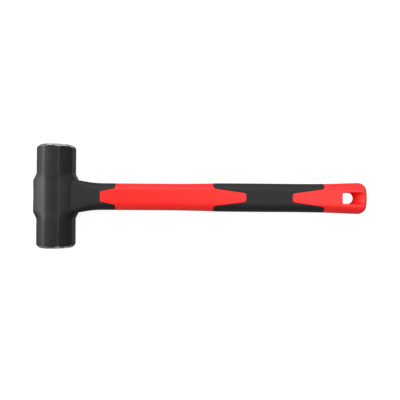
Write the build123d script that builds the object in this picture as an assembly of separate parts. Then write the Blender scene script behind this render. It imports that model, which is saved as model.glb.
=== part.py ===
"""Short double-faced sledge hammer with a moulded glass-fibre handle.

The hammer lies on its side. +X runs from the head along the handle to the butt, +Y runs
along the head from one striking face to the other, +Z is up. The origin is the centre of
the head's lower flat, under the eye, where the hammer rests. Millimetres.
"""
import os
from math import asin, degrees

from build123d import *

# Head
HEAD_LENGTH = 125.6
BARREL_WIDTH = 43.0
BARREL_CORNER = 12.7
CHEEK_WIDTH = 51.8
CHEEK_FLAT_HALF = 8.0
CHEEK_HALF_LENGTH = 19.0
SHOULDER_LENGTH = 7.9
BARREL_ROUNDING = 3.0
CHEEK_ROUNDING = 4.5
FACE_RADIUS = 19.5
FACE_CONE_RADIUS = 24.1
FACE_CONE_LENGTH = 5.6
FACE_CROWN = 0.9
FACE_ROUNDING = 1.6

# Glass-fibre bar, which stops short of the hang hole
CORE_HEIGHT = 23.4
CORE_THICKNESS = 13.0
CORE_ROUNDING = 5.0
CORE_EDGE = 0.8
CORE_TO_HOLE = 12.3

# Eye and its resin: room round the bar, flare to the mouths that locks the resin in
RESIN_END_GAP = 2.6
RESIN_SIDE_GAP = 2.0
EYE_FLARE = 0.7
CORE_COVER = 4.0
RESIN_RECESS = 1.2
CUT_PAST = 2.0

# Handle, from the head's axis to the middle of the butt end
HANDLE_LENGTH = 373.3

# Neck sections: distance from the head's axis, half height, half thickness, rounding
NECK_SECTIONS = (
    (12.0, 20.6, 12.9, 4.0),
    (19.7, 20.4, 12.9, 4.2),
    (26.2, 19.8, 12.8, 5.0),
    (33.5, 18.3, 12.7, 6.5),
    (40.8, 17.1, 12.6, 8.0),
    (49.0, 16.2, 12.6, 9.0),
    (62.0, 16.1, 12.6, 9.6),
)

# Grip and butt sections: distance short of the butt end, then as above
GRIP_SECTIONS = (
    (224.2, 16.1, 12.7, 9.8),
    (195.1, 16.5, 12.9, 9.8),
    (180.5, 17.0, 13.2, 9.8),
    (164.4, 17.1, 13.3, 9.8),
    (114.8, 17.1, 13.3, 9.8),
    (93.0, 16.95, 13.2, 9.8),
    (63.8, 17.05, 13.2, 9.8),
    (49.2, 17.3, 13.3, 9.8),
    (34.6, 17.75, 13.4, 9.6),
    (20.0, 18.4, 13.5, 9.4),
    (5.4, 18.85, 13.6, 9.2),
    (-15.6, 19.0, 13.6, 9.0),
)
SECTION_STEP = 9.0
NECK_START = 48.0
BUTT_ARC_RADIUS = 75.0
BUTT_CORNER = 6.5
BUTT_ROUNDING = 3.5

# Rubber mouldings let into the jacket
RUBBER_DEPTH = 2.6
COLLAR_END = 73.2
COLLAR_FINGER_ROUNDING = 2.4
GRIP_LENGTH = 132.0
BUTT_LENGTH = 50.8
GRIP_FINGER_ROUNDING = 3.0

# Red tongues: length, half height at the tip and at the root, tip corner radius
COLLAR_TONGUE = (17.7, 6.1, 9.8, 1.4)
FRONT_TONGUE = (39.0, 5.2, 10.6, 3.0)
REAR_TONGUE = (38.0, 5.1, 10.7, 3.0)

# Hang hole: straight towards the head, round towards the butt, flared at the butt end
HOLE_WALL = 13.4
HOLE_THROAT_LENGTH = 15.9
HOLE_FLARE = 9.4
HOLE_HEIGHT = 13.5
HOLE_CORNER = 2.0
HOLE_RIM = 0.8

MID = BARREL_WIDTH / 2
HEAD_HALF = HEAD_LENGTH / 2
CHEEK_HALF = CHEEK_WIDTH / 2
CORNER_FLAT_START = MID - BARREL_CORNER
EYE_LENGTH = CORE_HEIGHT + 2 * RESIN_END_GAP
EYE_WIDTH = CORE_THICKNESS + 2 * RESIN_SIDE_GAP
GRIP_END = HANDLE_LENGTH - BUTT_LENGTH
GRIP_START = GRIP_END - GRIP_LENGTH
HOLE_THROAT_END = HANDLE_LENGTH - HOLE_WALL
HOLE_MOUTH_END = HOLE_THROAT_END + HOLE_FLARE
HOLE_START = HOLE_THROAT_END - HOLE_THROAT_LENGTH
SECTIONS = NECK_SECTIONS + tuple((HANDLE_LENGTH - row[0], *row[1:]) for row in GRIP_SECTIONS)
HANDLE_START = NECK_SECTIONS[0][0]
BEYOND = 2 * HOLE_HEIGHT + BARREL_WIDTH


def head_section(y, wide_half, flat_half, rounding):
    """Eight-sided section of the head across Y, with its edges rounded."""
    points = [
        (wide_half, CORNER_FLAT_START),
        (flat_half, MID),
        (-flat_half, MID),
        (-wide_half, CORNER_FLAT_START),
        (-wide_half, -CORNER_FLAT_START),
        (-flat_half, -MID),
        (flat_half, -MID),
        (wide_half, -CORNER_FLAT_START),
    ]
    outline = make_face(Polyline(*points, close=True))
    outline = fillet(outline.vertices(), rounding)
    return Plane(origin=(0, y, MID), x_dir=(1, 0, 0), z_dir=(0, 1, 0)) * outline


def shoulder(direction):
    """Straight slope from the barrel section to the wider cheek section."""
    barrel_y = direction * (CHEEK_HALF_LENGTH + SHOULDER_LENGTH)
    cheek_y = direction * CHEEK_HALF_LENGTH
    sections = [
        head_section(barrel_y, MID, CORNER_FLAT_START, BARREL_ROUNDING),
        head_section(cheek_y, CHEEK_HALF, CHEEK_FLAT_HALF, CHEEK_ROUNDING),
    ]
    return loft(sections, ruled=True)


def barrel(direction):
    """Straight eight-sided part between a shoulder and a striking face."""
    start = CHEEK_HALF_LENGTH + SHOULDER_LENGTH
    section = head_section(direction * start, MID, CORNER_FLAT_START, BARREL_ROUNDING)
    return extrude(section, HEAD_HALF - start, dir=(0, direction, 0))


def turned_envelope():
    """Turned shape of the striking faces: crowned face, rounded rim, cone."""
    cone_start = HEAD_HALF - FACE_CONE_LENGTH
    rim = (FACE_RADIUS, HEAD_HALF - FACE_CROWN)
    crown_radius = (FACE_RADIUS**2 + FACE_CROWN**2) / (2 * FACE_CROWN)
    crown_angle = degrees(asin(FACE_RADIUS / crown_radius))
    profile = make_face(
        Polyline(
            (0, HEAD_HALF),
            (0, 0),
            (CHEEK_WIDTH, 0),
            (CHEEK_WIDTH, cone_start),
            (FACE_CONE_RADIUS, cone_start),
            rim,
        )
        + CenterArc((0, HEAD_HALF - crown_radius), crown_radius, 90 - crown_angle, crown_angle)
    )
    rim_vertex = profile.vertices().sort_by_distance(rim)[0]
    profile = fillet(rim_vertex, FACE_ROUNDING)
    half = revolve(profile, Axis.Y)
    return Pos(0, 0, MID) * (half + mirror(half, Plane.XZ))


def head_blank():
    """Forged head before the eye is punched."""
    cheek_section = head_section(-CHEEK_HALF_LENGTH, CHEEK_HALF, CHEEK_FLAT_HALF, CHEEK_ROUNDING)
    blank = extrude(cheek_section, 2 * CHEEK_HALF_LENGTH, dir=(0, 1, 0))
    for direction in (-1, 1):
        blank += shoulder(direction)
        blank += barrel(direction)
    return blank & turned_envelope()


def across_handle(x, shape):
    """Place a flat shape square to the handle; its first direction is Y, its second Z."""
    return Plane(origin=(x, 0, MID), x_dir=(0, 1, 0), z_dir=(1, 0, 0)) * shape


def eye_space(start, end):
    """Hourglass space of the eye between two distances from the head's axis."""
    waist = across_handle(0, SlotOverall(EYE_LENGTH, EYE_WIDTH))
    halves = []
    for edge in (start, end):
        flare = 2 * EYE_FLARE * abs(edge) / CHEEK_HALF
        mouth = across_handle(edge, SlotOverall(EYE_LENGTH + flare, EYE_WIDTH + flare))
        halves.append(loft([mouth, waist], ruled=True))
    return halves[0] + halves[1]


def core_bar():
    """Glass-fibre bar from inside the eye to just short of the hang hole."""
    start = CORE_COVER - CHEEK_HALF
    section = RectangleRounded(CORE_HEIGHT, CORE_THICKNESS, CORE_ROUNDING)
    length = HOLE_START - CORE_TO_HOLE - start
    bar = extrude(across_handle(start, section), length, dir=(1, 0, 0))
    ends = bar.faces().filter_by(Axis.X).edges()
    return chamfer(ends, CORE_EDGE)


def handle_section(x, inset):
    """Rounded section of the handle at one distance, moved inwards by the inset."""
    for before, after in zip(SECTIONS, SECTIONS[1:]):
        if x <= after[0]:
            break
    share = (x - before[0]) / (after[0] - before[0])
    height, thickness, rounding = (
        low + (high - low) * share for low, high in zip(before[1:], after[1:])
    )
    shape = RectangleRounded(2 * (height - inset), 2 * (thickness - inset), rounding - inset)
    return across_handle(x, shape)


def handle_body(inset, start):
    """Smooth solid through evenly spaced handle sections, moved inwards by the inset."""
    length = SECTIONS[-1][0] - start
    steps = round(length / SECTION_STEP)
    return loft([handle_section(start + length * step / steps, inset) for step in range(steps + 1)])


def through(outline):
    """Solid of a flat outline in X and Y, passing right through the handle."""
    return Pos(0, 0, MID) * extrude(outline, BEYOND, both=True)


def butt_envelope():
    """Gently arched butt end with rounded corners, seen from the side."""
    corner_height = SECTIONS[-2][1]
    arc_drop = BUTT_ARC_RADIUS - (BUTT_ARC_RADIUS**2 - corner_height**2) ** 0.5
    top = (HANDLE_LENGTH - arc_drop, corner_height)
    bottom = (HANDLE_LENGTH - arc_drop, -corner_height)
    outline = make_face(
        Polyline(bottom, (0, -corner_height), (0, corner_height), top)
        + ThreePointArc(top, (HANDLE_LENGTH, 0), bottom)
    )
    corners = [outline.vertices().sort_by_distance(corner)[0] for corner in (top, bottom)]
    return through(fillet(corners, BUTT_CORNER))


def tongue(values, root_x, direction):
    """Tapering tongue outline with rounded tip corners, from its root to its tip."""
    length, tip_half, root_half, tip_radius = values
    tip_x = root_x + direction * length
    outline = make_face(
        Polyline(
            (root_x, root_half),
            (tip_x, tip_half),
            (tip_x, -tip_half),
            (root_x, -root_half),
            close=True,
        )
    )
    tips = outline.vertices().sort_by_distance((tip_x, 0))[:2]
    return fillet(tips, tip_radius)


def rubber_outline(start, end, tongues, rounding):
    """Side outline of a rubber moulding: rounded fingers either side of each tongue."""
    outline = Pos((start + end) / 2, 0) * Rectangle(end - start, 2 * BEYOND)
    roots = []
    for values, root_x, direction in tongues:
        outline -= tongue(values, root_x, direction)
        roots += [(root_x, values[2]), (root_x, -values[2])]
    fingers = [outline.vertices().sort_by_distance(root)[0] for root in roots]
    return fillet(fingers, rounding)


def collar_zone():
    """Reach of the collar, with the red tongue that points at the head."""
    tongues = [(COLLAR_TONGUE, COLLAR_END, -1)]
    return through(rubber_outline(0, COLLAR_END, tongues, COLLAR_FINGER_ROUNDING))


def grip_zone():
    """Reach of the grip, with a red tongue at each end."""
    tongues = [(FRONT_TONGUE, GRIP_START, 1), (REAR_TONGUE, GRIP_END, -1)]
    return through(rubber_outline(GRIP_START, GRIP_END, tongues, GRIP_FINGER_ROUNDING))


def hole_outline(z, end):
    """Outline of the hang hole at one height, round towards the butt."""
    radius = HOLE_HEIGHT / 2
    top = (end - radius, radius)
    bottom = (end - radius, -radius)
    outline = make_face(
        Polyline(top, (HOLE_START, radius), (HOLE_START, -radius), bottom)
        + ThreePointArc(bottom, (end, 0), top)
    )
    corners = outline.vertices().sort_by(Axis.X)[:2]
    return Pos(0, 0, z) * fillet(corners, HOLE_CORNER)


def hang_hole():
    """Space of the hang hole: narrowest half-way through, flared to both sides."""
    throat = hole_outline(MID, HOLE_THROAT_END)
    half_thickness = SECTIONS[-2][2]
    reach = half_thickness + CUT_PAST
    mouth_end = HOLE_THROAT_END + HOLE_FLARE * reach / half_thickness
    halves = [
        loft([throat, hole_outline(MID + side * reach, mouth_end)], ruled=True) for side in (-1, 1)
    ]
    return halves[0] + halves[1]


def neck_spigot():
    """Straight neck of the jacket inside the collar's flare, up to the head."""
    section = handle_section(NECK_START, RUBBER_DEPTH)
    return extrude(section, NECK_START - HANDLE_START, dir=(-1, 0, 0))


def handle_outside():
    """Whole outside of the handle, with the edges of the butt end rounded."""
    outside = handle_body(0, HANDLE_START) & butt_envelope()
    end_edges = outside.edges().filter_by(
        lambda edge: edge.bounding_box().min.X > HANDLE_LENGTH - 2 * BUTT_CORNER
    )
    return fillet(end_edges, BUTT_ROUNDING)


def with_hang_hole(solid):
    """Cut the hang hole and round its two rims."""
    solid -= hang_hole()
    rim = solid.edges().filter_by(
        lambda edge: (
            edge.bounding_box().min.X > HOLE_START - HOLE_RIM
            and edge.bounding_box().max.X < HOLE_MOUTH_END + HOLE_RIM
            and edge.bounding_box().size.Z < HOLE_RIM
            and abs(edge.center().Z - MID) > HOLE_HEIGHT / 2
        )
    )
    return fillet(rim, HOLE_RIM)


blank = head_blank()
core = core_bar()
outer = with_hang_hole(handle_outside()) - blank
under_rubber = neck_spigot() + handle_body(RUBBER_DEPTH, NECK_START)
rubber_zone = outer - under_rubber
collar = rubber_zone & collar_zone()
grip = rubber_zone & grip_zone()
parts = {
    "hammer_head": blank - eye_space(-CHEEK_HALF - CUT_PAST, CHEEK_HALF + CUT_PAST),
    "handle_core": core,
    "eye_epoxy": (eye_space(RESIN_RECESS - CHEEK_HALF, CHEEK_HALF + CUT_PAST) & blank) - core,
    "handle_jacket": outer - collar - grip - core,
    "neck_collar": collar,
    "grip_sleeve": grip,
}

os.makedirs("parts", exist_ok=True)
for name, solid in parts.items():
    export_step(solid, f"parts/{name}.step")
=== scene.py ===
import math

import bpy
import numpy as np
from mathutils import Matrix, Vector


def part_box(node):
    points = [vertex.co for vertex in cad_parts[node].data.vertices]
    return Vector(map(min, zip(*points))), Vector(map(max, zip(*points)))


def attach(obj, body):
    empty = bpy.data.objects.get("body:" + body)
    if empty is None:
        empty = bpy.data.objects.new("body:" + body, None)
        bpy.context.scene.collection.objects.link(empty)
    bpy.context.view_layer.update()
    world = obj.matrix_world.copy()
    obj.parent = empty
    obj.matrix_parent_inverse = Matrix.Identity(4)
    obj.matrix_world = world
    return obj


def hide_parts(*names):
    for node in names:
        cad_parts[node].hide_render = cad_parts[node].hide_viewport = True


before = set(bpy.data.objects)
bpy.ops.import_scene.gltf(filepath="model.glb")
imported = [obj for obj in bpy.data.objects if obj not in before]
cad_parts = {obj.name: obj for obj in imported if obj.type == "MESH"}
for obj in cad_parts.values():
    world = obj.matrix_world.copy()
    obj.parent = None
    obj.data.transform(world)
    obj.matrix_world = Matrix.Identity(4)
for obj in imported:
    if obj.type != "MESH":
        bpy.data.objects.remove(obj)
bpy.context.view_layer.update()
MM = 0.001

# ---------------------------------------------------------------------------------------
# The forged head. One piece of steel, hammered to eight sides in dies, with a bulged cheek
# round the eye. Both ends are turned in a lathe to a cone and a slightly crowned face
# after painting, so they are bare and the paint ends where the cone meets the flats.
# ---------------------------------------------------------------------------------------
head_low, head_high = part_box("hammer_head")
MID = (head_low[2] + head_high[2]) / 2 / MM
HEAD_HALF = head_high[1] / MM
CHEEK_HALF = head_high[0] / MM
BARREL_HALF = MID
CORNER_FLAT = 8.8
CHEEK_FLAT = 8.0
CHEEK_RUN = 19.0
SHOULDER_RUN = 7.9
SHOULDER_EASE = 0.35
# Edge radii, at the ends of the upright sides and at the ends of the top and bottom
BARREL_ROUNDING = (3.0, 5.0)
CHEEK_ROUNDING = (5.0, 14.0)
FACE_RADIUS = 19.5
FACE_CROWN = 0.9
CONE_RADIUS = 24.1
CONE_LENGTH = 5.6
CONE_SLOPE = (CONE_RADIUS - FACE_RADIUS) / (CONE_LENGTH - FACE_CROWN)
RIM_ROUNDING = (1.1, 0.9)
ALL_TURNED = 2.6
FLAT_CROWN = 0.5
NO_LIMIT = 99.0


def shoulder_share(y):
    """0 on the barrel, 1 on the cheek: a straight ramp averaged over 2 SHOULDER_EASE."""
    spread = np.linspace(-SHOULDER_EASE, SHOULDER_EASE, 5)
    ramp = (CHEEK_RUN + SHOULDER_RUN - np.abs(y)[:, None] + spread) / SHOULDER_RUN
    return np.clip(ramp, 0.0, 1.0).mean(1)


def rounded_eight_sides(wide_half, flat_half, side_rounding, top_rounding):
    """Eight-sided section with rounded edges and slightly crowned sides, one per input row.

    Each corner V has a circle of the given radius touching both sides: its centre is V less
    r tan(turn / 2) along the side before it and r square to that side. Points on its arc are
    C + r (cos, sin). A side between two arcs is its chord plus 4 k s (1 - s) outwards, where s
    runs from 0 to 1 and k is FLAT_CROWN, and the arcs give up the angle 4 k / chord to it.
    The two upright sides, which hold the mouths of the eye, are flat.
    """
    arc_points, side_points = 9, 7
    rounding = np.stack([side_rounding, side_rounding, top_rounding, top_rounding] * 2, 1)
    crown = FLAT_CROWN * np.array([0, 1, 1, 1] * 2)
    c = np.full_like(wide_half, CORNER_FLAT)
    m = np.full_like(wide_half, BARREL_HALF - FLAT_CROWN)
    corners = np.stack(
        [
            np.stack(pair, -1)
            for pair in (
                (wide_half, -c), (wide_half, c), (flat_half, m), (-flat_half, m),
                (-wide_half, c), (-wide_half, -c), (-flat_half, -m), (flat_half, -m),
            )
        ],
        1,
    )
    before = corners - np.roll(corners, 1, 1)
    after = np.roll(corners, -1, 1) - corners
    before /= np.linalg.norm(before, axis=2, keepdims=True)
    after /= np.linalg.norm(after, axis=2, keepdims=True)
    turn = np.arccos(np.clip((before * after).sum(2), -1, 1))
    reach = rounding * np.tan(turn / 2)
    outward = np.stack([before[..., 1], -before[..., 0]], -1)
    centre = corners - before * reach[..., None] - outward * rounding[..., None]
    chord = np.linalg.norm(np.roll(corners, -1, 1) - corners, axis=2)
    chord -= reach + np.roll(reach, -1, 1)
    slope_after = 4 * crown / chord
    slope_before = np.roll(slope_after, 1, 1)
    start = np.arctan2(outward[..., 1], outward[..., 0]) + slope_before
    swept = turn - slope_before - slope_after
    angle = start[..., None] + swept[..., None] * np.linspace(0, 1, arc_points)
    arc = centre[:, :, None] + rounding[..., None, None] * np.stack(
        [np.cos(angle), np.sin(angle)], -1
    )
    arc_end = arc[:, :, -1:]
    next_start = np.roll(arc[:, :, :1], -1, 1)
    share = (np.arange(1, side_points + 1) / (side_points + 1))[:, None]
    side_out = np.stack([after[..., 1], -after[..., 0]], -1)[:, :, None]
    side = arc_end + (next_start - arc_end) * share
    side += side_out * 4 * crown[:, None, None] * share * (1 - share)
    # 1 at the middle of each edge's arc and 0 on the sides: where the enamel is greyed, partly
    # for rubbed wear and partly as a painted highlight
    wear_and_sheen = np.concatenate([np.sin(np.linspace(0, np.pi, arc_points)), np.zeros(side_points)])
    section = np.concatenate([arc, side], 2).reshape(len(wide_half), -1, 2)
    return section, np.tile(wear_and_sheen, 8)


def turned_profile():
    """Half of the turned outline as (distance along the head, largest radius) rows.

    Barrel with no limit, then the cone, then a rim rounded by the parabola with its middle
    control point at the sharp rim, then the crown y = end - R + sqrt(R^2 - r^2), with R from
    the face radius and the crown height. Rows are closest where the section changes.
    """
    crown_r = (FACE_RADIUS**2 + FACE_CROWN**2) / (2 * FACE_CROWN)
    rim_y = HEAD_HALF - FACE_CROWN
    cone_start = HEAD_HALF - CONE_LENGTH
    cone_y = np.linspace(cone_start, rim_y - RIM_ROUNDING[0], 22)
    cone_r = FACE_RADIUS + (rim_y - cone_y) * CONE_SLOPE
    face_r = np.concatenate([np.linspace(FACE_RADIUS - RIM_ROUNDING[1], 3, 16), [1.6, 0.6]])
    face_y = HEAD_HALF - crown_r + np.sqrt(crown_r**2 - face_r**2)
    bend = np.linspace(0, 1, 9)[1:-1]
    ctrl = np.array([[cone_y[-1], cone_r[-1]], [rim_y, FACE_RADIUS], [face_y[0], face_r[0]]])
    weights = np.stack([(1 - bend) ** 2, 2 * bend * (1 - bend), bend**2], 1)
    rim = weights @ ctrl
    shoulder_start = CHEEK_RUN - SHOULDER_EASE
    shoulder_end = CHEEK_RUN + SHOULDER_RUN + SHOULDER_EASE
    flat_y = np.concatenate(
        [
            np.linspace(0, shoulder_start, 10, endpoint=False),
            np.linspace(shoulder_start, shoulder_end, 26, endpoint=False),
            np.linspace(shoulder_end, cone_start, 14, endpoint=False),
        ]
    )
    ys = np.concatenate([flat_y, cone_y, rim[:, 0], face_y])
    rs = np.concatenate([np.full(len(flat_y), NO_LIMIT), cone_r, rim[:, 1], face_r])
    return ys, rs


def mesh_piece(name, rows, close_rows=False, marks=None):
    """Mesh from a grid of points in millimetres whose columns run right round.

    rows is (n, m, 3). The ends are closed with a fan to their middle, or row n joins row 0.
    Faces are turned outwards by the sign of the sum of p . (q x r) over the triangles. Marks
    become attributes of the points, in the order of the grid.
    """
    n, m, _ = rows.shape
    points = rows.reshape(-1, 3)
    i = np.arange(n if close_rows else n - 1)[:, None]
    j = np.arange(m)[None]
    nxt, jn = (i + 1) % n, (j + 1) % m
    quads = np.stack([i * m + j, i * m + jn, nxt * m + jn, nxt * m + j], -1).reshape(-1, 4)
    fans = []
    if not close_rows:
        for row, order in ((0, 1), (n - 1, -1)):
            middle = len(points)
            points = np.vstack([points, rows[row].mean(0)])
            ring = row * m + np.arange(m)
            fans.append(np.stack([np.full(m, middle), np.roll(ring, -1), ring][::order], -1))
    p = points[quads]
    volume = np.einsum("ij,ij->i", p[:, 0], np.cross(p[:, 1], p[:, 2])).sum()
    volume += np.einsum("ij,ij->i", p[:, 0], np.cross(p[:, 2], p[:, 3])).sum()
    faces = [quads, *fans]
    if volume < 0:
        faces = [part[:, ::-1] for part in faces]
    mesh = bpy.data.meshes.new(name)
    mesh.from_pydata((points * MM).tolist(), [], sum((part.tolist() for part in faces), []))
    for label, values in (marks or {}).items():
        layer = mesh.attributes.new(label, "FLOAT", "POINT")
        values = np.asarray(values, float).reshape(-1)
        on_all = np.zeros(len(points))
        on_all[: len(values)] = values
        layer.data.foreach_set("value", on_all)
    mesh.shade_smooth()
    piece = bpy.data.objects.new(name, mesh)
    bpy.context.collection.objects.link(piece)
    return piece


def cut_from(piece, cutter, sharp_angle):
    """Takes the cutter out of the piece, keeps the result as plain mesh and marks hard edges."""
    cut = piece.modifiers.new("cut", "BOOLEAN")
    cut.operation = "DIFFERENCE"
    cut.solver = "EXACT"
    cut.object = cutter
    shape = piece.evaluated_get(bpy.context.evaluated_depsgraph_get())
    mesh = bpy.data.meshes.new_from_object(shape)
    mesh.name = piece.name
    piece.modifiers.clear()
    piece.data = mesh
    bpy.data.objects.remove(cutter)
    mesh.set_sharp_from_angle(angle=math.radians(sharp_angle))


def linear(hex_colour):
    """Linear RGBA of an sRGB hex colour."""
    parts = [int(hex_colour[k : k + 2], 16) / 255 for k in (1, 3, 5)]
    return (*(p / 12.92 if p <= 0.04045 else ((p + 0.055) / 1.055) ** 2.4 for p in parts), 1.0)


def add_node(material, kind, links=None, **settings):
    """Adds one shader node: settings go on the node or its inputs, links feed its inputs."""
    node = material.node_tree.nodes.new(kind)
    for key, value in settings.items():
        if hasattr(node, key):
            setattr(node, key, value)
        else:
            node.inputs[key.replace("_", " ")].default_value = value
    for target, source in (links or {}).items():
        material.node_tree.links.new(source, node.inputs[target])
    return node


def new_material(name):
    """Material with an empty node tree."""
    material = bpy.data.materials.new(name)
    material.use_nodes = True
    material.node_tree.nodes.clear()
    return material


def finish_material(material, shader):
    """Joins the shader to the material's output."""
    add_node(material, "ShaderNodeOutputMaterial", {"Surface": shader.outputs["BSDF"]})
    return material


def painted_forging():
    """Black satin stoving enamel on a forged skin, and turned bare steel at the ends.

    The enamel is nearly black with a soft sheen and follows the low, broad dents of the
    forging. Bare steel shows where the radius reaches the cone
    r = FACE_RADIUS + (rim - |y|) CONE_SLOPE, and on all of the last ALL_TURNED mm with the
    face itself. It has fine rings left by the lathe tool.
    """
    paint = new_material("black_enamel_on_forged_steel")
    place = add_node(paint, "ShaderNodeTexCoord").outputs["Object"]
    centred = add_node(
        paint, "ShaderNodeMapping", {"Vector": place}, Location=(0, 0, -MID * MM)
    ).outputs["Vector"]
    axes = add_node(paint, "ShaderNodeSeparateXYZ", {"Vector": centred})
    flat = add_node(
        paint, "ShaderNodeCombineXYZ", {"X": axes.outputs["X"], "Y": axes.outputs["Z"]}
    ).outputs["Vector"]
    radius = add_node(
        paint, "ShaderNodeVectorMath", {0: flat}, operation="LENGTH"
    ).outputs["Value"]
    along = add_node(paint, "ShaderNodeMath", {0: axes.outputs["Y"]}, operation="ABSOLUTE")
    cone = add_node(
        paint, "ShaderNodeMath", {0: along.outputs[0]}, operation="MULTIPLY_ADD"
    )
    cone.inputs[1].default_value = CONE_SLOPE
    cone.inputs[2].default_value = -(FACE_RADIUS + (HEAD_HALF - FACE_CROWN) * CONE_SLOPE) * MM
    past = add_node(
        paint, "ShaderNodeMath", {0: radius, 1: cone.outputs[0]}, operation="ADD"
    ).outputs[0]
    # The paint's edge is chipped back by up to 0.4 mm in bites 2.4 mm long
    ragged = add_node(
        paint, "ShaderNodeTexNoise", {"Vector": place}, Scale=420.0, Detail=3.0
    ).outputs[0]
    wander = add_node(paint, "ShaderNodeMath", {0: ragged}, operation="MULTIPLY_ADD")
    wander.inputs[1].default_value = 0.34 * MM
    wander.inputs[2].default_value = 0.06 * MM
    edge = add_node(
        paint, "ShaderNodeMath", {0: past, 1: wander.outputs[0]}, operation="ADD"
    ).outputs[0]
    cone_bare = add_node(
        paint, "ShaderNodeMapRange", {"Value": edge}, From_Min=0.0, From_Max=0.08 * MM
    ).outputs[0]
    face_bare = add_node(
        paint,
        "ShaderNodeMapRange",
        {"Value": along.outputs[0]},
        From_Min=(HEAD_HALF - ALL_TURNED) * MM,
        From_Max=(HEAD_HALF - ALL_TURNED + 0.1) * MM,
    ).outputs[0]
    bare = add_node(
        paint, "ShaderNodeMath", {0: cone_bare, 1: face_bare}, operation="MAXIMUM"
    ).outputs[0]

    # Forged skin: dents about 9 mm across, and the enamel's orange peel 1.1 mm across
    dents = add_node(
        paint,
        "ShaderNodeTexNoise",
        {"Vector": place},
        Scale=110.0,
        Detail=2.0,
        Roughness=0.45,
    ).outputs[0]
    peel = add_node(
        paint, "ShaderNodeTexNoise", {"Vector": place}, Scale=900.0, Detail=2.0
    ).outputs[0]
    # Lathe rings, drawn coarser than the real 0.2 mm so that they show
    turned = add_node(
        paint, "ShaderNodeMath", {0: radius, 1: along.outputs[0]}, operation="SUBTRACT"
    )
    ring_angle = add_node(paint, "ShaderNodeMath", {0: turned.outputs[0]}, operation="MULTIPLY")
    ring_angle.inputs[1].default_value = 2 * math.pi / (0.45 * MM)
    rings = add_node(
        paint, "ShaderNodeMath", {0: ring_angle.outputs[0]}, operation="SINE"
    ).outputs[0]
    skin = add_node(
        paint, "ShaderNodeBump", {"Height": dents}, Strength=0.5, Distance=0.35 * MM
    ).outputs["Normal"]
    skin = add_node(
        paint,
        "ShaderNodeBump",
        {"Height": peel, "Normal": skin},
        Strength=0.35,
        Distance=0.04 * MM,
    ).outputs["Normal"]
    ring_height = add_node(paint, "ShaderNodeMath", {0: rings, 1: bare}, operation="MULTIPLY")
    skin = add_node(
        paint,
        "ShaderNodeBump",
        {"Height": ring_height.outputs[0], "Normal": skin},
        Strength=0.5,
        Distance=0.012 * MM,
    ).outputs["Normal"]

    # Enamel a little greyer on the rounded edges, partly rubbed wear and partly a painted
    # highlight; steel streaked by handling and oil
    wear_and_sheen = add_node(paint, "ShaderNodeAttribute", attribute_name="rubbed_and_sheen").outputs[2]
    patchy_wear_and_sheen = add_node(paint, "ShaderNodeMath", {0: wear_and_sheen, 1: dents}, operation="MULTIPLY")
    enamel = add_node(
        paint, "ShaderNodeMix", {"Factor": patchy_wear_and_sheen.outputs[0]}, data_type="RGBA"
    )
    enamel.inputs[6].default_value = linear("#141415")
    enamel.inputs[7].default_value = linear("#212122")
    streaks = add_node(
        paint,
        "ShaderNodeTexNoise",
        {"Vector": place},
        Scale=170.0,
        Detail=4.0,
        Roughness=0.6,
    ).outputs[0]
    streaks = add_node(
        paint, "ShaderNodeMapRange", {"Value": streaks}, From_Min=0.36, From_Max=0.62
    ).outputs[0]
    # The face is cleaner than the cone, with turning marks in rings 1.7 mm wide
    on_face = add_node(
        paint,
        "ShaderNodeMapRange",
        {"Value": along.outputs[0]},
        From_Min=(HEAD_HALF - FACE_CROWN - 0.3) * MM,
        From_Max=(HEAD_HALF - FACE_CROWN) * MM,
    ).outputs[0]
    bands = add_node(
        paint,
        "ShaderNodeTexNoise",
        {"W": turned.outputs[0]},
        noise_dimensions="1D",
        Scale=600.0,
        Detail=3.0,
    ).outputs[0]
    clean = add_node(
        paint, "ShaderNodeMapRange", {"Value": bands}, To_Min=0.36, To_Max=0.76
    ).outputs[0]
    streaks = add_node(
        paint, "ShaderNodeMix", {0: on_face, 2: streaks, 3: clean}
    ).outputs[0]
    steel = add_node(paint, "ShaderNodeMix", {"Factor": streaks}, data_type="RGBA")
    steel.inputs[6].default_value = linear("#77777A")
    steel.inputs[7].default_value = linear("#E4E4E6")
    colour = add_node(
        paint,
        "ShaderNodeMix",
        {"Factor": bare, 6: enamel.outputs[2], 7: steel.outputs[2]},
        data_type="RGBA",
    )
    gloss = add_node(paint, "ShaderNodeMapRange", {"Value": peel}, To_Min=0.42, To_Max=0.52)
    steel_gloss = add_node(
        paint, "ShaderNodeMapRange", {"Value": streaks}, To_Min=0.24, To_Max=0.42
    )
    roughness = add_node(
        paint,
        "ShaderNodeMix",
        {0: bare, 2: gloss.outputs[0], 3: steel_gloss.outputs[0]},
    )
    shader = add_node(
        paint,
        "ShaderNodeBsdfPrincipled",
        {
            "Base Color": colour.outputs[2],
            "Metallic": bare,
            "Roughness": roughness.outputs[0],
            "Normal": skin,
        },
        Specular_IOR_Level=0.4,
    )
    return finish_material(paint, shader)


EYE_LENGTH = 28.6
EYE_WIDTH = 17.0
EYE_FLARE = 0.7
EYE_LIP = 1.1
CUT_PAST = 3.0


def oval(length, width, count=96):
    """Slot outline: half circles of the width's radius joined by straight sides."""
    r = width / 2
    turn = np.linspace(0, 2 * np.pi, count, endpoint=False)
    a = r * np.cos(turn) + np.sign(np.cos(turn)) * (length / 2 - r)
    return a, r * np.sin(turn)


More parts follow.
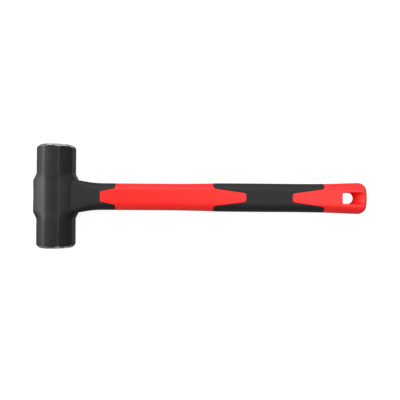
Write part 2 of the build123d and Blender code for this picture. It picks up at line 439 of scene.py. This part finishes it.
# The eye's cutter widens from its waist to both mouths, with a rounded lip at the outer one
eye_x = np.concatenate(
    [
        -CHEEK_HALF - np.array([CUT_PAST, 1.2, 0.0]),
        -CHEEK_HALF + np.linspace(0.1, EYE_LIP, 8),
        [-12.0, 0.0, 12.0, CHEEK_HALF + CUT_PAST],
    ]
)
depth = np.clip((CHEEK_HALF - np.abs(eye_x)) / EYE_LIP, 0, 1)
lip = EYE_LIP * (1 - np.sqrt(1 - (1 - depth) ** 2)) * (eye_x < 0)
grow = 2 * (EYE_FLARE * np.abs(eye_x) / CHEEK_HALF + lip)
eye_rows = []
for x, more in zip(eye_x, grow):
    eye_y, eye_z = oval(EYE_LENGTH + more, EYE_WIDTH + more)
    eye_rows.append(np.stack([np.full_like(eye_y, x), eye_y, eye_z + MID], -1))
eye_cutter = mesh_piece("eye_cutter", np.array(eye_rows))

half_y, half_r = turned_profile()
head_y = np.concatenate([-half_y[::-1], half_y[1:]])
head_limit = np.concatenate([half_r[::-1], half_r[1:]])
bulge = shoulder_share(head_y)
sections, rubbed_and_sheen = rounded_eight_sides(
    BARREL_HALF + (CHEEK_HALF - BARREL_HALF) * bulge,
    CORNER_FLAT + (CHEEK_FLAT - CORNER_FLAT) * bulge,
    BARREL_ROUNDING[0] + (CHEEK_ROUNDING[0] - BARREL_ROUNDING[0]) * bulge,
    BARREL_ROUNDING[1] + (CHEEK_ROUNDING[1] - BARREL_ROUNDING[1]) * bulge,
)
reach = np.linalg.norm(sections, axis=2)
limit = np.minimum(reach, head_limit[:, None])
sections = sections * (limit / reach)[..., None]
head_rows = np.stack(
    [sections[..., 0], np.broadcast_to(head_y[:, None], reach.shape), sections[..., 1] + MID], -1
)
# Edge marks for the greyer enamel, partly wear and partly a painted highlight; none where the
# turned ends cut into the section
rub_and_sheen_marks = np.broadcast_to(rubbed_and_sheen, reach.shape) * (reach <= limit + 1e-6)
forged_head = mesh_piece("forged_head", head_rows, marks={"rubbed_and_sheen": rub_and_sheen_marks})
cut_from(forged_head, eye_cutter, 40)
forged_head.data.materials.append(painted_forging())
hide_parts("hammer_head")
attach(forged_head, "root")

# ---------------------------------------------------------------------------------------
# Potting resin in the eye and the glass-fibre bar it holds. The resin is poured from the
# outer end with the bar in place and sets to a dark, slightly sunken, glossy plug. The bar
# is pulled through a die, so its fibres run along it. Both keep their CAD shapes.
# ---------------------------------------------------------------------------------------


def poured_resin():
    """Cast epoxy with dark filler: glossy, with pits 2.4 mm apart where bubbles broke."""
    resin = new_material("cast_epoxy")
    place = add_node(resin, "ShaderNodeTexCoord").outputs["Object"]
    pits = add_node(
        resin, "ShaderNodeTexVoronoi", {"Vector": place}, Scale=420.0
    ).outputs["Distance"]
    waves = add_node(
        resin, "ShaderNodeTexNoise", {"Vector": place}, Scale=130.0, Detail=3.0
    ).outputs[0]
    pit_floor = add_node(
        resin, "ShaderNodeMapRange", {"Value": pits}, From_Min=0.0, From_Max=0.22
    ).outputs[0]
    skin = add_node(
        resin, "ShaderNodeBump", {"Height": waves}, Strength=0.6, Distance=0.5 * MM
    ).outputs["Normal"]
    skin = add_node(
        resin,
        "ShaderNodeBump",
        {"Height": pit_floor, "Normal": skin},
        Strength=0.6,
        Distance=0.2 * MM,
    ).outputs["Normal"]
    colour = add_node(resin, "ShaderNodeMix", {"Factor": waves}, data_type="RGBA")
    colour.inputs[6].default_value = linear("#221E19")
    colour.inputs[7].default_value = linear("#3A3227")
    gloss = add_node(resin, "ShaderNodeMapRange", {"Value": waves}, To_Min=0.22, To_Max=0.4)
    return finish_material(
        resin,
        add_node(
            resin,
            "ShaderNodeBsdfPrincipled",
            {"Base Color": colour.outputs[2], "Roughness": gloss.outputs[0], "Normal": skin},
            IOR=1.55,
        ),
    )


def drawn_glass_fibre():
    """Pultruded glass fibre in polyester: straw-coloured, with 0.7 mm streaks along it."""
    fibre = new_material("pultruded_glass_fibre")
    place = add_node(fibre, "ShaderNodeTexCoord").outputs["Object"]
    drawn = add_node(
        fibre, "ShaderNodeMapping", {"Vector": place}, Scale=(0.04, 1.0, 1.0)
    ).outputs["Vector"]
    streaks = add_node(
        fibre, "ShaderNodeTexNoise", {"Vector": drawn}, Scale=1400.0, Detail=4.0
    ).outputs[0]
    colour = add_node(fibre, "ShaderNodeMix", {"Factor": streaks}, data_type="RGBA")
    colour.inputs[6].default_value = linear("#B9A574")
    colour.inputs[7].default_value = linear("#E6DBB4")
    skin = add_node(
        fibre, "ShaderNodeBump", {"Height": streaks}, Strength=0.4, Distance=0.1 * MM
    ).outputs["Normal"]
    return finish_material(
        fibre,
        add_node(
            fibre,
            "ShaderNodeBsdfPrincipled",
            {"Base Color": colour.outputs[2], "Normal": skin},
            Roughness=0.45,
            IOR=1.54,
        ),
    )


for node_name, inner_material in (
    ("eye_epoxy", poured_resin()),
    ("handle_core", drawn_glass_fibre()),
):
    for material_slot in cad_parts[node_name].material_slots:
        material_slot.material = inner_material

# ---------------------------------------------------------------------------------------
# The red jacket. Polypropylene moulded round the glass-fibre bar: neck, tongues that show
# in the rubber, and the flared butt with its hang hole. It is thinner under the rubber.
# ---------------------------------------------------------------------------------------
BUTT_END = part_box("handle_jacket")[1][0] / MM
# Distance from the head's middle, half height, half thickness and edge rounding
HANDLE_TABLE = np.array(
    [
        (12.0, 20.6, 12.9, 4.0),
        (19.7, 20.4, 12.9, 4.2),
        (26.2, 19.8, 12.8, 5.0),
        (33.5, 18.3, 12.7, 6.5),
        (40.8, 17.1, 12.6, 8.0),
        (49.0, 16.2, 12.6, 9.0),
        (62.0, 16.1, 12.6, 9.6),
        (BUTT_END - 224.2, 16.1, 12.7, 9.8),
        (BUTT_END - 195.1, 16.5, 12.9, 9.8),
        (BUTT_END - 180.5, 17.0, 13.2, 9.8),
        (BUTT_END - 164.4, 17.1, 13.3, 9.8),
        (BUTT_END - 114.8, 17.1, 13.3, 9.8),
        (BUTT_END - 93.0, 16.95, 13.2, 9.8),
        (BUTT_END - 63.8, 17.05, 13.2, 9.8),
        (BUTT_END - 49.2, 17.3, 13.3, 9.8),
        (BUTT_END - 34.6, 17.75, 13.4, 9.6),
        (BUTT_END - 20.0, 18.4, 13.5, 9.4),
        (BUTT_END - 5.4, 18.85, 13.6, 9.2),
        (BUTT_END + 15.6, 19.0, 13.6, 9.0),
    ]
)
SIDE_LINES = 46
EDGE_LINES = 44
SIDE_CROWN = 0.35
MOULD_LINE = 0.14
RUBBER_DEPTH = 2.6
JACKET_START = 24.0


def handle_sizes(x):
    """Half height, half thickness and rounding at x, averaged over 15 mm to be smooth."""
    shifts = np.array([-7.5, -4.5, -1.5, 1.5, 4.5, 7.5])
    weights = np.array([0.08, 0.17, 0.25, 0.25, 0.17, 0.08])
    return [
        sum(
            weight * np.interp(x + shift, HANDLE_TABLE[:, 0], HANDLE_TABLE[:, column])
            for shift, weight in zip(shifts, weights)
        )
        for column in (1, 2, 3)
    ]


def lines_round_handle():
    """Lines along the handle, as (centre Y, centre Z, normal Y, normal Z, mould line).

    Centres are shares of the flats' half sizes. Flat k runs from corner k - 1 to corner k
    with a fixed normal, and the arc at corner k turns from that normal to the next one.
    The two halves of the mould met half-way across the narrow sides.
    """
    corners = np.array([(1, 1), (1, -1), (-1, -1), (-1, 1)], float)
    normals = np.array([(0, 1), (1, 0), (0, -1), (-1, 0)], float)
    broad = np.arange(SIDE_LINES) / SIDE_LINES
    narrow = np.array([0.0, 0.18, 0.34, 0.44, 0.5, 0.56, 0.66, 0.82])
    turn = np.arange(EDGE_LINES) / EDGE_LINES * np.pi / 2
    parts = []
    for k in range(4):
        share = (broad, narrow)[k % 2][:, None]
        centre = corners[k - 1] + share * (corners[k] - corners[k - 1])
        seam = (share == 0.5) * (k % 2)
        parts.append(np.hstack([centre, np.tile(normals[k], (len(share), 1)), seam]))
        turned = np.cos(turn)[:, None] * normals[k] + np.sin(turn)[:, None] * normals[(k + 1) % 4]
        parts.append(np.hstack([np.tile(corners[k], (len(turn), 1)), turned, 0 * turned[:, :1]]))
    return np.vstack(parts).T


lines = lines_round_handle()


def handle_points(x, sink):
    """Points on the lines at distances x, sunk below the handle's surface.

    P = centre + normal (rounding - sink), and the broad sides are crowned by taking
    SIDE_CROWN (y / half height)^2 off their height.
    """
    centre_y, centre_z, normal_y, normal_z, mould = lines
    half_height, half_thickness, rounding = handle_sizes(x)
    out = rounding - sink + MOULD_LINE * mould
    y = centre_y * (half_height - rounding) + normal_y * out
    z = centre_z * (half_thickness - rounding) + normal_z * out
    z = z - SIDE_CROWN * normal_z * (y / half_height) ** 2
    return np.stack([x + 0 * y, y, z + MID], -1)


def rounded_corner(before, corner, after, radius, count=12):
    """Arc of the given radius between two straight runs that meet at the corner."""
    before, corner, after = (np.array(point, float) for point in (before, corner, after))
    back = (before - corner) / np.linalg.norm(before - corner)
    on = (after - corner) / np.linalg.norm(after - corner)
    half = np.arccos(np.clip(back @ on, -1, 1)) / 2
    middle = (back + on) / np.linalg.norm(back + on)
    centre = corner + middle * radius / np.sin(half)
    start = corner + back * radius / np.tan(half) - centre
    end = corner + on * radius / np.tan(half) - centre
    share = np.linspace(0, 1, count)[:, None]
    arc = start * (1 - share) + end * share
    return centre + arc * radius / np.linalg.norm(arc, axis=1, keepdims=True)


def tongue_seam(root_x, direction, length, tip_half, root_half, tip_rounding, finger_rounding):
    """Where red meets black on each line: x, and how many mm of x are 1 mm square to it.

    The outline is a graph of x over |y|: level across the tongue's tip, down its side, and
    level again from the root outwards, with both corners rounded. The height of a line
    depends a little on x, so x is found by repeating x = outline(|y(x)|).
    """
    tip, root, beyond = (tip_half, length), (root_half, 0.0), (2 * root_half, 0.0)
    outline = np.vstack(
        [
            [(0.0, length)],
            rounded_corner((0.0, length), tip, root, tip_rounding),
            rounded_corner(tip, root, beyond, finger_rounding),
            [beyond],
        ]
    )
    x = np.full(lines.shape[1], float(root_x))
    for _ in range(8):
        y = np.abs(handle_points(x, 0.0)[:, 1])
        x = root_x + direction * np.interp(y, outline[:, 0], outline[:, 1])
    step = 0.05
    rise = np.interp(y + step, outline[:, 0], outline[:, 1])
    rise = (rise - np.interp(y - step, outline[:, 0], outline[:, 1])) / (2 * step)
    return x, np.sqrt(1 + rise**2)


COLLAR_END = 73.2
GRIP_END = BUTT_END - 50.8
GRIP_START = GRIP_END - 132.0
collar_seam = tongue_seam(
    COLLAR_END, -1, 17.7, tip_half=6.1, root_half=9.8, tip_rounding=1.4, finger_rounding=2.4
)
grip_front_seam = tongue_seam(
    GRIP_START, 1, 39.0, tip_half=5.2, root_half=10.6, tip_rounding=3.0, finger_rounding=3.0
)
grip_back_seam = tongue_seam(
    GRIP_END, -1, 38.0, tip_half=5.1, root_half=10.7, tip_rounding=3.0, finger_rounding=3.0
)

RED_ROUND = 0.45
# Red edge beside a seam, as (distance from the seam, depth), from under the rubber outwards
RED_EDGE = [(-0.05, RUBBER_DEPTH), (0.0, 0.34), (0.06, 0.17), (0.2, 0.05), (RED_ROUND, 0.0)]


def along_seam(seam, side, profile):
    """Rows beside a seam: each is the seam's line moved square to it, at its own depth."""
    x, stretch = seam
    return [handle_points(x + side * away * stretch, depth) for away, depth in profile]


def rows_between(x_from, x_to, count, depth):
    """Rows dividing the way from one line of x to another, without the two ends."""
    shares = np.arange(1, count + 1) / (count + 1)
    return [handle_points(x_from + (x_to - x_from) * share, depth) for share in shares]


def seam_offset(seam, side, away):
    """The seam's x moved square to it."""
    return seam[0] + side * away * seam[1]


BUTT_ARC = 75.0
BUTT_CORNER = 6.5
BUTT_EDGE = 3.5


def butt_arch(y):
    """Butt end: x = end - (R - sqrt(R^2 - y^2))."""
    return BUTT_END - BUTT_ARC + np.sqrt(BUTT_ARC**2 - y**2)


def butt_rows():
    """Rounded edge of the butt and its arched end.

    The edge radius e goes from BUTT_EDGE on the broad sides to BUTT_CORNER on the narrow
    ones. At angle a the section is sunk by e (1 - cos a) and lies e (1 - sin a) short of
    the arch; then the last loop shrinks to the middle over the arch.
    """
    edge = BUTT_EDGE + (BUTT_CORNER - BUTT_EDGE) * lines[2] ** 2
    rows = []
    for angle in np.linspace(0, np.pi / 2, 13):
        sink = edge * (1 - np.cos(angle))
        y = handle_points(np.full_like(edge, BUTT_END - BUTT_EDGE), sink)[:, 1]
        rows.append(handle_points(butt_arch(y) - edge * (1 - np.sin(angle)), sink))
    last = rows[-1]
    for share in (0.92, 0.8, 0.64, 0.46, 0.28, 0.12):
        y = last[:, 1] * share
        rows.append(np.stack([butt_arch(y), y, MID + (last[:, 2] - MID) * share], -1))
    return rows


end_rows = butt_rows()
red_rows = rows_between(
    np.full(lines.shape[1], JACKET_START), collar_seam[0], 4, RUBBER_DEPTH
)
red_rows += along_seam(collar_seam, 1, RED_EDGE)
red_rows += rows_between(
    seam_offset(collar_seam, 1, RED_ROUND), seam_offset(grip_front_seam, -1, RED_ROUND), 48, 0.0
)
red_rows += along_seam(grip_front_seam, -1, RED_EDGE[::-1])
red_rows += rows_between(grip_front_seam[0], grip_back_seam[0], 14, RUBBER_DEPTH)
red_rows += along_seam(grip_back_seam, 1, RED_EDGE)
red_rows += rows_between(
    seam_offset(grip_back_seam, 1, RED_ROUND), end_rows[0][:, 0], 34, 0.0
)
red_rows += end_rows

HOLE_THROAT_END = BUTT_END - 13.4
HOLE_START = HOLE_THROAT_END - 15.9
HOLE_RADIUS = 6.75
HOLE_CORNER = 2.0
HOLE_FLARE = 9.4
HOLE_RIM = 0.8
SURFACE_HEIGHT = 13.35
SQUARE_MOUTH = 3
PAST_SURFACE = 2.0


def hole_loop(height, grow):
    """Loop at a height above the middle: straight start, D-shaped end, grown outwards.

    The end is |x / R|^n + |y / R|^n = 1, where n grows from 2, which is round, by
    SQUARE_MOUTH at the surface. It moves out with height, which flares the hole.
    """
    end = HOLE_THROAT_END + HOLE_FLARE * abs(height) / SURFACE_HEIGHT
    radius = HOLE_RADIUS + grow
    corner = HOLE_CORNER + grow
    start = HOLE_START - grow
    centre = end - HOLE_RADIUS
    end_turn = np.linspace(-np.pi / 2, np.pi / 2, 40)
    power = 2 / (2 + SQUARE_MOUTH * min(abs(height) / SURFACE_HEIGHT, 1.0))
    quarter = np.linspace(0, np.pi / 2, 9)
    x = np.concatenate(
        [
            centre + radius * np.abs(np.cos(end_turn)) ** power,
            np.linspace(centre, start + corner, 12)[1:-1],
            start + corner - corner * np.sin(quarter),
            start + corner - corner * np.cos(quarter),
            np.linspace(start + corner, centre, 12)[1:-1],
        ]
    )
    y = np.concatenate(
        [
            radius * np.sign(end_turn) * np.abs(np.sin(end_turn)) ** power,
            np.full(10, radius),
            radius - corner + corner * np.cos(quarter),
            -radius + corner - corner * np.sin(quarter),
            np.full(10, -radius),
        ]
    )
    return np.stack([x, y, np.full_like(x, MID + height)], -1)


rim_angle = np.linspace(0, np.pi / 2, 8)
rim_heights = SURFACE_HEIGHT - HOLE_RIM * (1 - np.sin(rim_angle))
rim_growth = HOLE_RIM * (1 - np.cos(rim_angle))
upper = [hole_loop(h, g) for h, g in zip(rim_heights, rim_growth)]
upper.append(hole_loop(SURFACE_HEIGHT + PAST_SURFACE, HOLE_RIM * 1.6))
lower = [hole_loop(-h, g) for h, g in zip(rim_heights, rim_growth)]
lower.append(hole_loop(-SURFACE_HEIGHT - PAST_SURFACE, HOLE_RIM * 1.6))
hole_rows = lower[::-1] + [hole_loop(h, 0.0) for h in (-6.0, -1.5, 0.0, 1.5, 6.0)] + upper
hole_cutter = mesh_piece("hole_cutter", np.array(hole_rows))


def red_moulding():
    """Red polypropylene from a spark-eroded mould: soft gloss over a fine even texture.

    The texture's bumps are 0.7 mm across. Weak waves 18 mm across are where the thick wall
    sank as it cooled, and the colour is a trace uneven where the melt flowed.
    """
    red = new_material("moulded_red_polypropylene")
    place = add_node(red, "ShaderNodeTexCoord").outputs["Object"]
    grain = add_node(
        red, "ShaderNodeTexNoise", {"Vector": place}, Scale=1500.0, Detail=2.0
    ).outputs[0]
    sunk = add_node(
        red, "ShaderNodeTexNoise", {"Vector": place}, Scale=55.0, Detail=1.0
    ).outputs[0]
    flow = add_node(
        red, "ShaderNodeMapping", {"Vector": place}, Scale=(0.25, 1.0, 1.0)
    ).outputs["Vector"]
    flow = add_node(
        red, "ShaderNodeTexNoise", {"Vector": flow}, Scale=90.0, Detail=3.0
    ).outputs[0]
    skin = add_node(
        red, "ShaderNodeBump", {"Height": sunk}, Strength=0.35, Distance=0.4 * MM
    ).outputs["Normal"]
    skin = add_node(
        red,
        "ShaderNodeBump",
        {"Height": grain, "Normal": skin},
        Strength=0.3,
        Distance=0.04 * MM,
    ).outputs["Normal"]
    colour = add_node(red, "ShaderNodeMix", {"Factor": flow}, data_type="RGBA")
    colour.inputs[6].default_value = linear("#F41A16")
    colour.inputs[7].default_value = linear("#FD2722")
    gloss = add_node(red, "ShaderNodeMapRange", {"Value": grain}, To_Min=0.36, To_Max=0.48)
    return finish_material(
        red,
        add_node(
            red,
            "ShaderNodeBsdfPrincipled",
            {"Base Color": colour.outputs[2], "Roughness": gloss.outputs[0], "Normal": skin},
            IOR=1.49,
            Specular_IOR_Level=0.4,
        ),
    )


red_jacket = mesh_piece("red_jacket", np.array(red_rows))
cut_from(red_jacket, hole_cutter, 50)
red_jacket.data.materials.append(red_moulding())
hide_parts("handle_jacket")
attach(red_jacket, "root")

# ---------------------------------------------------------------------------------------
# The black rubber collar and grip. Thermoplastic rubber moulded over the jacket, so it
# grips it with no glue. The collar flares out and hugs the head's cheek. Each edge beside
# the red is rounded by a fraction of a millimetre where the mould closed on the jacket.
# ---------------------------------------------------------------------------------------
RUBBER_ROUND = 0.5
RUBBER_PROUD = 0.06
# Rubber edge beside a seam, as (distance from the seam, depth), from its surface inwards
RUBBER_EDGE = [
    (RUBBER_ROUND, -RUBBER_PROUD), (0.22, -0.02), (0.07, 0.1), (0.0, 0.3), (0.0, RUBBER_DEPTH)
]
CHEEK_SLANT = (CHEEK_HALF - CHEEK_FLAT) / (BARREL_HALF - CORNER_FLAT)
COLLAR_START = 15.0
NEAR_CHEEK = 21.0
# Groove where the collar meets the cheek, as (distance from the cheek, depth)
COLLAR_GROOVE = [(0.0, 1.45), (0.3, 0.85), (0.7, 0.35), (1.1, 0.1), (1.5, 0.0)]


def head_contact():
    """x where each line meets the cheek: its end flat, or the slanted side beyond it."""
    height = np.abs(handle_points(np.full(lines.shape[1], NEAR_CHEEK), 0.0)[:, 2] - MID)
    return CHEEK_HALF - np.maximum(height - CORNER_FLAT, 0) * CHEEK_SLANT


def black_rubber():
    """Black thermoplastic rubber: matt, slightly grey, with a fine pebble 0.8 mm across.

    Handling leaves it unevenly dull, which shows as soft patches 6 mm wide.
    """
    rubber = new_material("moulded_black_rubber")
    place = add_node(rubber, "ShaderNodeTexCoord").outputs["Object"]
    pebble = add_node(
        rubber, "ShaderNodeTexNoise", {"Vector": place}, Scale=1300.0, Detail=3.0
    ).outputs[0]
    patches = add_node(
        rubber,
        "ShaderNodeTexNoise",
        {"Vector": place},
        Scale=160.0,
        Detail=4.0,
        Roughness=0.6,
    ).outputs[0]
    skin = add_node(
        rubber, "ShaderNodeBump", {"Height": pebble}, Strength=0.45, Distance=0.08 * MM
    ).outputs["Normal"]
    colour = add_node(rubber, "ShaderNodeMix", {"Factor": patches}, data_type="RGBA")
    colour.inputs[6].default_value = linear("#161616")
    colour.inputs[7].default_value = linear("#1E1E1E")
    dull = add_node(rubber, "ShaderNodeMapRange", {"Value": patches}, To_Min=0.5, To_Max=0.68)
    return finish_material(
        rubber,
        add_node(
            rubber,
            "ShaderNodeBsdfPrincipled",
            {"Base Color": colour.outputs[2], "Roughness": dull.outputs[0], "Normal": skin},
            IOR=1.5,
            Specular_IOR_Level=0.38,
        ),
    )


rubber_material = black_rubber()
contact = head_contact()
inside_head = np.full_like(contact, COLLAR_START)
collar_rows = [handle_points(inside_head, RUBBER_DEPTH), handle_points(inside_head, 1.5)]
collar_rows += [handle_points(contact + away, depth) for away, depth in COLLAR_GROOVE]
collar_rows += rows_between(
    contact + COLLAR_GROOVE[-1][0], seam_offset(collar_seam, -1, RUBBER_ROUND), 40, 0.0
)
collar_rows += along_seam(collar_seam, -1, RUBBER_EDGE)
collar_rows += rows_between(collar_seam[0], inside_head, 8, RUBBER_DEPTH)
rubber_collar = mesh_piece("rubber_collar", np.array(collar_rows), close_rows=True)

grip_rows = along_seam(grip_front_seam, 1, RUBBER_EDGE[::-1])
grip_rows += rows_between(
    seam_offset(grip_front_seam, 1, RUBBER_ROUND),
    seam_offset(grip_back_seam, -1, RUBBER_ROUND),
    60,
    -RUBBER_PROUD,
)
grip_rows += along_seam(grip_back_seam, -1, RUBBER_EDGE)
grip_rows += rows_between(grip_back_seam[0], grip_front_seam[0], 14, RUBBER_DEPTH)
rubber_grip = mesh_piece("rubber_grip", np.array(grip_rows), close_rows=True)

for moulding, node_name in ((rubber_collar, "neck_collar"), (rubber_grip, "grip_sleeve")):
    moulding.data.materials.append(rubber_material)
    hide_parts(node_name)
    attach(moulding, "root")

# ---------------------------------------------------------------------------------------
# The studio, in metres: a white floor that sweeps up into a white wall all round, softboxes,
# a soft fill light, a gradient round the sky and the camera. None of it is part of the hammer.
# ---------------------------------------------------------------------------------------
FLOOR_FLAT = 1.8
SWEEP_RADIUS = 1.5
WALL_TOP = 4.0


def studio_floor():
    """Floor and wall turned round Z: flat to FLOOR_FLAT, a quarter circle, then straight up."""
    m = 64
    turn = np.linspace(0, np.pi / 2, 16)
    sweep = FLOOR_FLAT + SWEEP_RADIUS * np.sin(turn)
    r = np.concatenate([[0.4, 1.0], sweep, [FLOOR_FLAT + SWEEP_RADIUS]])
    z = np.concatenate([[0.0, 0.0], SWEEP_RADIUS * (1 - np.cos(turn)), [WALL_TOP]])
    around = np.linspace(0, 2 * np.pi, m, endpoint=False)
    points = np.stack(
        [np.outer(r, np.cos(around)), np.outer(r, np.sin(around)), np.outer(z, np.ones(m))], -1
    ).reshape(-1, 3)
    i = np.arange(len(r) - 1)[:, None] * m
    j = np.arange(m)[None]
    quads = np.stack([i + j, i + m + j, i + m + (j + 1) % m, i + (j + 1) % m], -1)
    mesh = bpy.data.meshes.new("studio_floor")
    mesh.from_pydata(points.tolist(), [], [list(range(m)), *quads.reshape(-1, 4).tolist()])
    mesh.shade_smooth()
    return mesh


floor = bpy.data.objects.new("studio_floor", studio_floor())
bpy.context.collection.objects.link(floor)
floor.location = (0.17, 0.0, -0.2 * MM)
floor.visible_glossy = False
floor.visible_diffuse = False
floor_paint = new_material("white_floor_paint")
floor_shader = add_node(floor_paint, "ShaderNodeBsdfPrincipled", Roughness=0.9)
floor_shader.inputs["Base Color"].default_value = linear("#808080")
floor_shader.inputs["Emission Color"].default_value = (1.0, 1.0, 1.0, 1.0)
floor_shader.inputs["Emission Strength"].default_value = 0.9
finish_material(floor_paint, floor_shader)
floor.data.materials.append(floor_paint)


def soft_light(name, direction, distance, width, height, power):
    """Area light aimed at the hammer's middle from (degrees off +Z, degrees round Z)."""
    tilt, round_z = (math.radians(a) for a in direction)
    middle = np.array([BUTT_END * MM * 0.45, 0.0, MID * MM])
    away = np.array(
        [math.sin(tilt) * math.cos(round_z), math.sin(tilt) * math.sin(round_z), math.cos(tilt)]
    )
    data = bpy.data.lights.new(name, "AREA")
    data.shape = "RECTANGLE"
    data.size, data.size_y, data.energy = width, height, power
    light = bpy.data.objects.new(name, data)
    bpy.context.collection.objects.link(light)
    light.location = middle + away * distance
    light.rotation_mode = "QUATERNION"
    light.rotation_quaternion = Vector(away).to_track_quat("Z", "Y")
    light.visible_camera = False
    return light


soft_light("left_softbox", (66, 170), distance=1.3, width=0.8, height=1.0, power=15)
soft_light("right_softbox", (22, 15), distance=1.6, width=0.5, height=1.0, power=7)
soft_light("far_softbox", (55, 90), distance=1.5, width=1.4, height=0.5, power=8)
near_fill = soft_light("near_fill", (62, -90), distance=1.5, width=1.4, height=0.8, power=4.5)
near_fill.visible_glossy = False

# Sky: dim towards -Y and bright towards +Y, but the floor is white at -Y too
world = bpy.data.worlds.new("studio")
world.use_nodes = True
sky_place = add_node(world, "ShaderNodeTexCoord").outputs["Generated"]
sky_axes = add_node(world, "ShaderNodeSeparateXYZ", {"Vector": sky_place})
sky_y = sky_axes.outputs["Y"]
near_side = add_node(
    world, "ShaderNodeMapRange", {"Value": sky_y},
    From_Min=-0.5, From_Max=-0.8, To_Min=0.0, To_Max=0.42,
)
low_side = add_node(
    world, "ShaderNodeMapRange", {"Value": sky_axes.outputs["Z"]},
    From_Min=0.1, From_Max=-0.1,
)
near_floor = add_node(
    world, "ShaderNodeMath", {0: near_side.outputs[0], 1: low_side.outputs[0]},
    operation="MULTIPLY",
)
sky_side = add_node(
    world, "ShaderNodeMapRange", {"Value": sky_y},
    From_Min=-0.5, From_Max=0.5, To_Min=0.08, To_Max=0.58,
)
sky_strength = add_node(
    world, "ShaderNodeMath", {0: sky_side.outputs[0], 1: near_floor.outputs[0]}, operation="ADD"
)
background = world.node_tree.nodes["Background"]
background.inputs["Color"].default_value = (1.0, 1.0, 1.0, 1.0)
world.node_tree.links.new(sky_strength.outputs[0], background.inputs["Strength"])
bpy.context.scene.world = world
bpy.context.scene.view_settings.view_transform = "Standard"

# The camera looks straight down, 0.547 m above the hammer's middle plane
camera_data = bpy.data.cameras.new("camera")
camera_data.lens = 40.5
camera_data.sensor_width = 36.0
camera = bpy.data.objects.new("camera", camera_data)
bpy.context.collection.objects.link(camera)
camera.location = (0.1745, -0.0033, MID * MM + 0.547)
camera.rotation_euler = (0, 0, math.radians(0.45))
bpy.context.scene.camera = camera
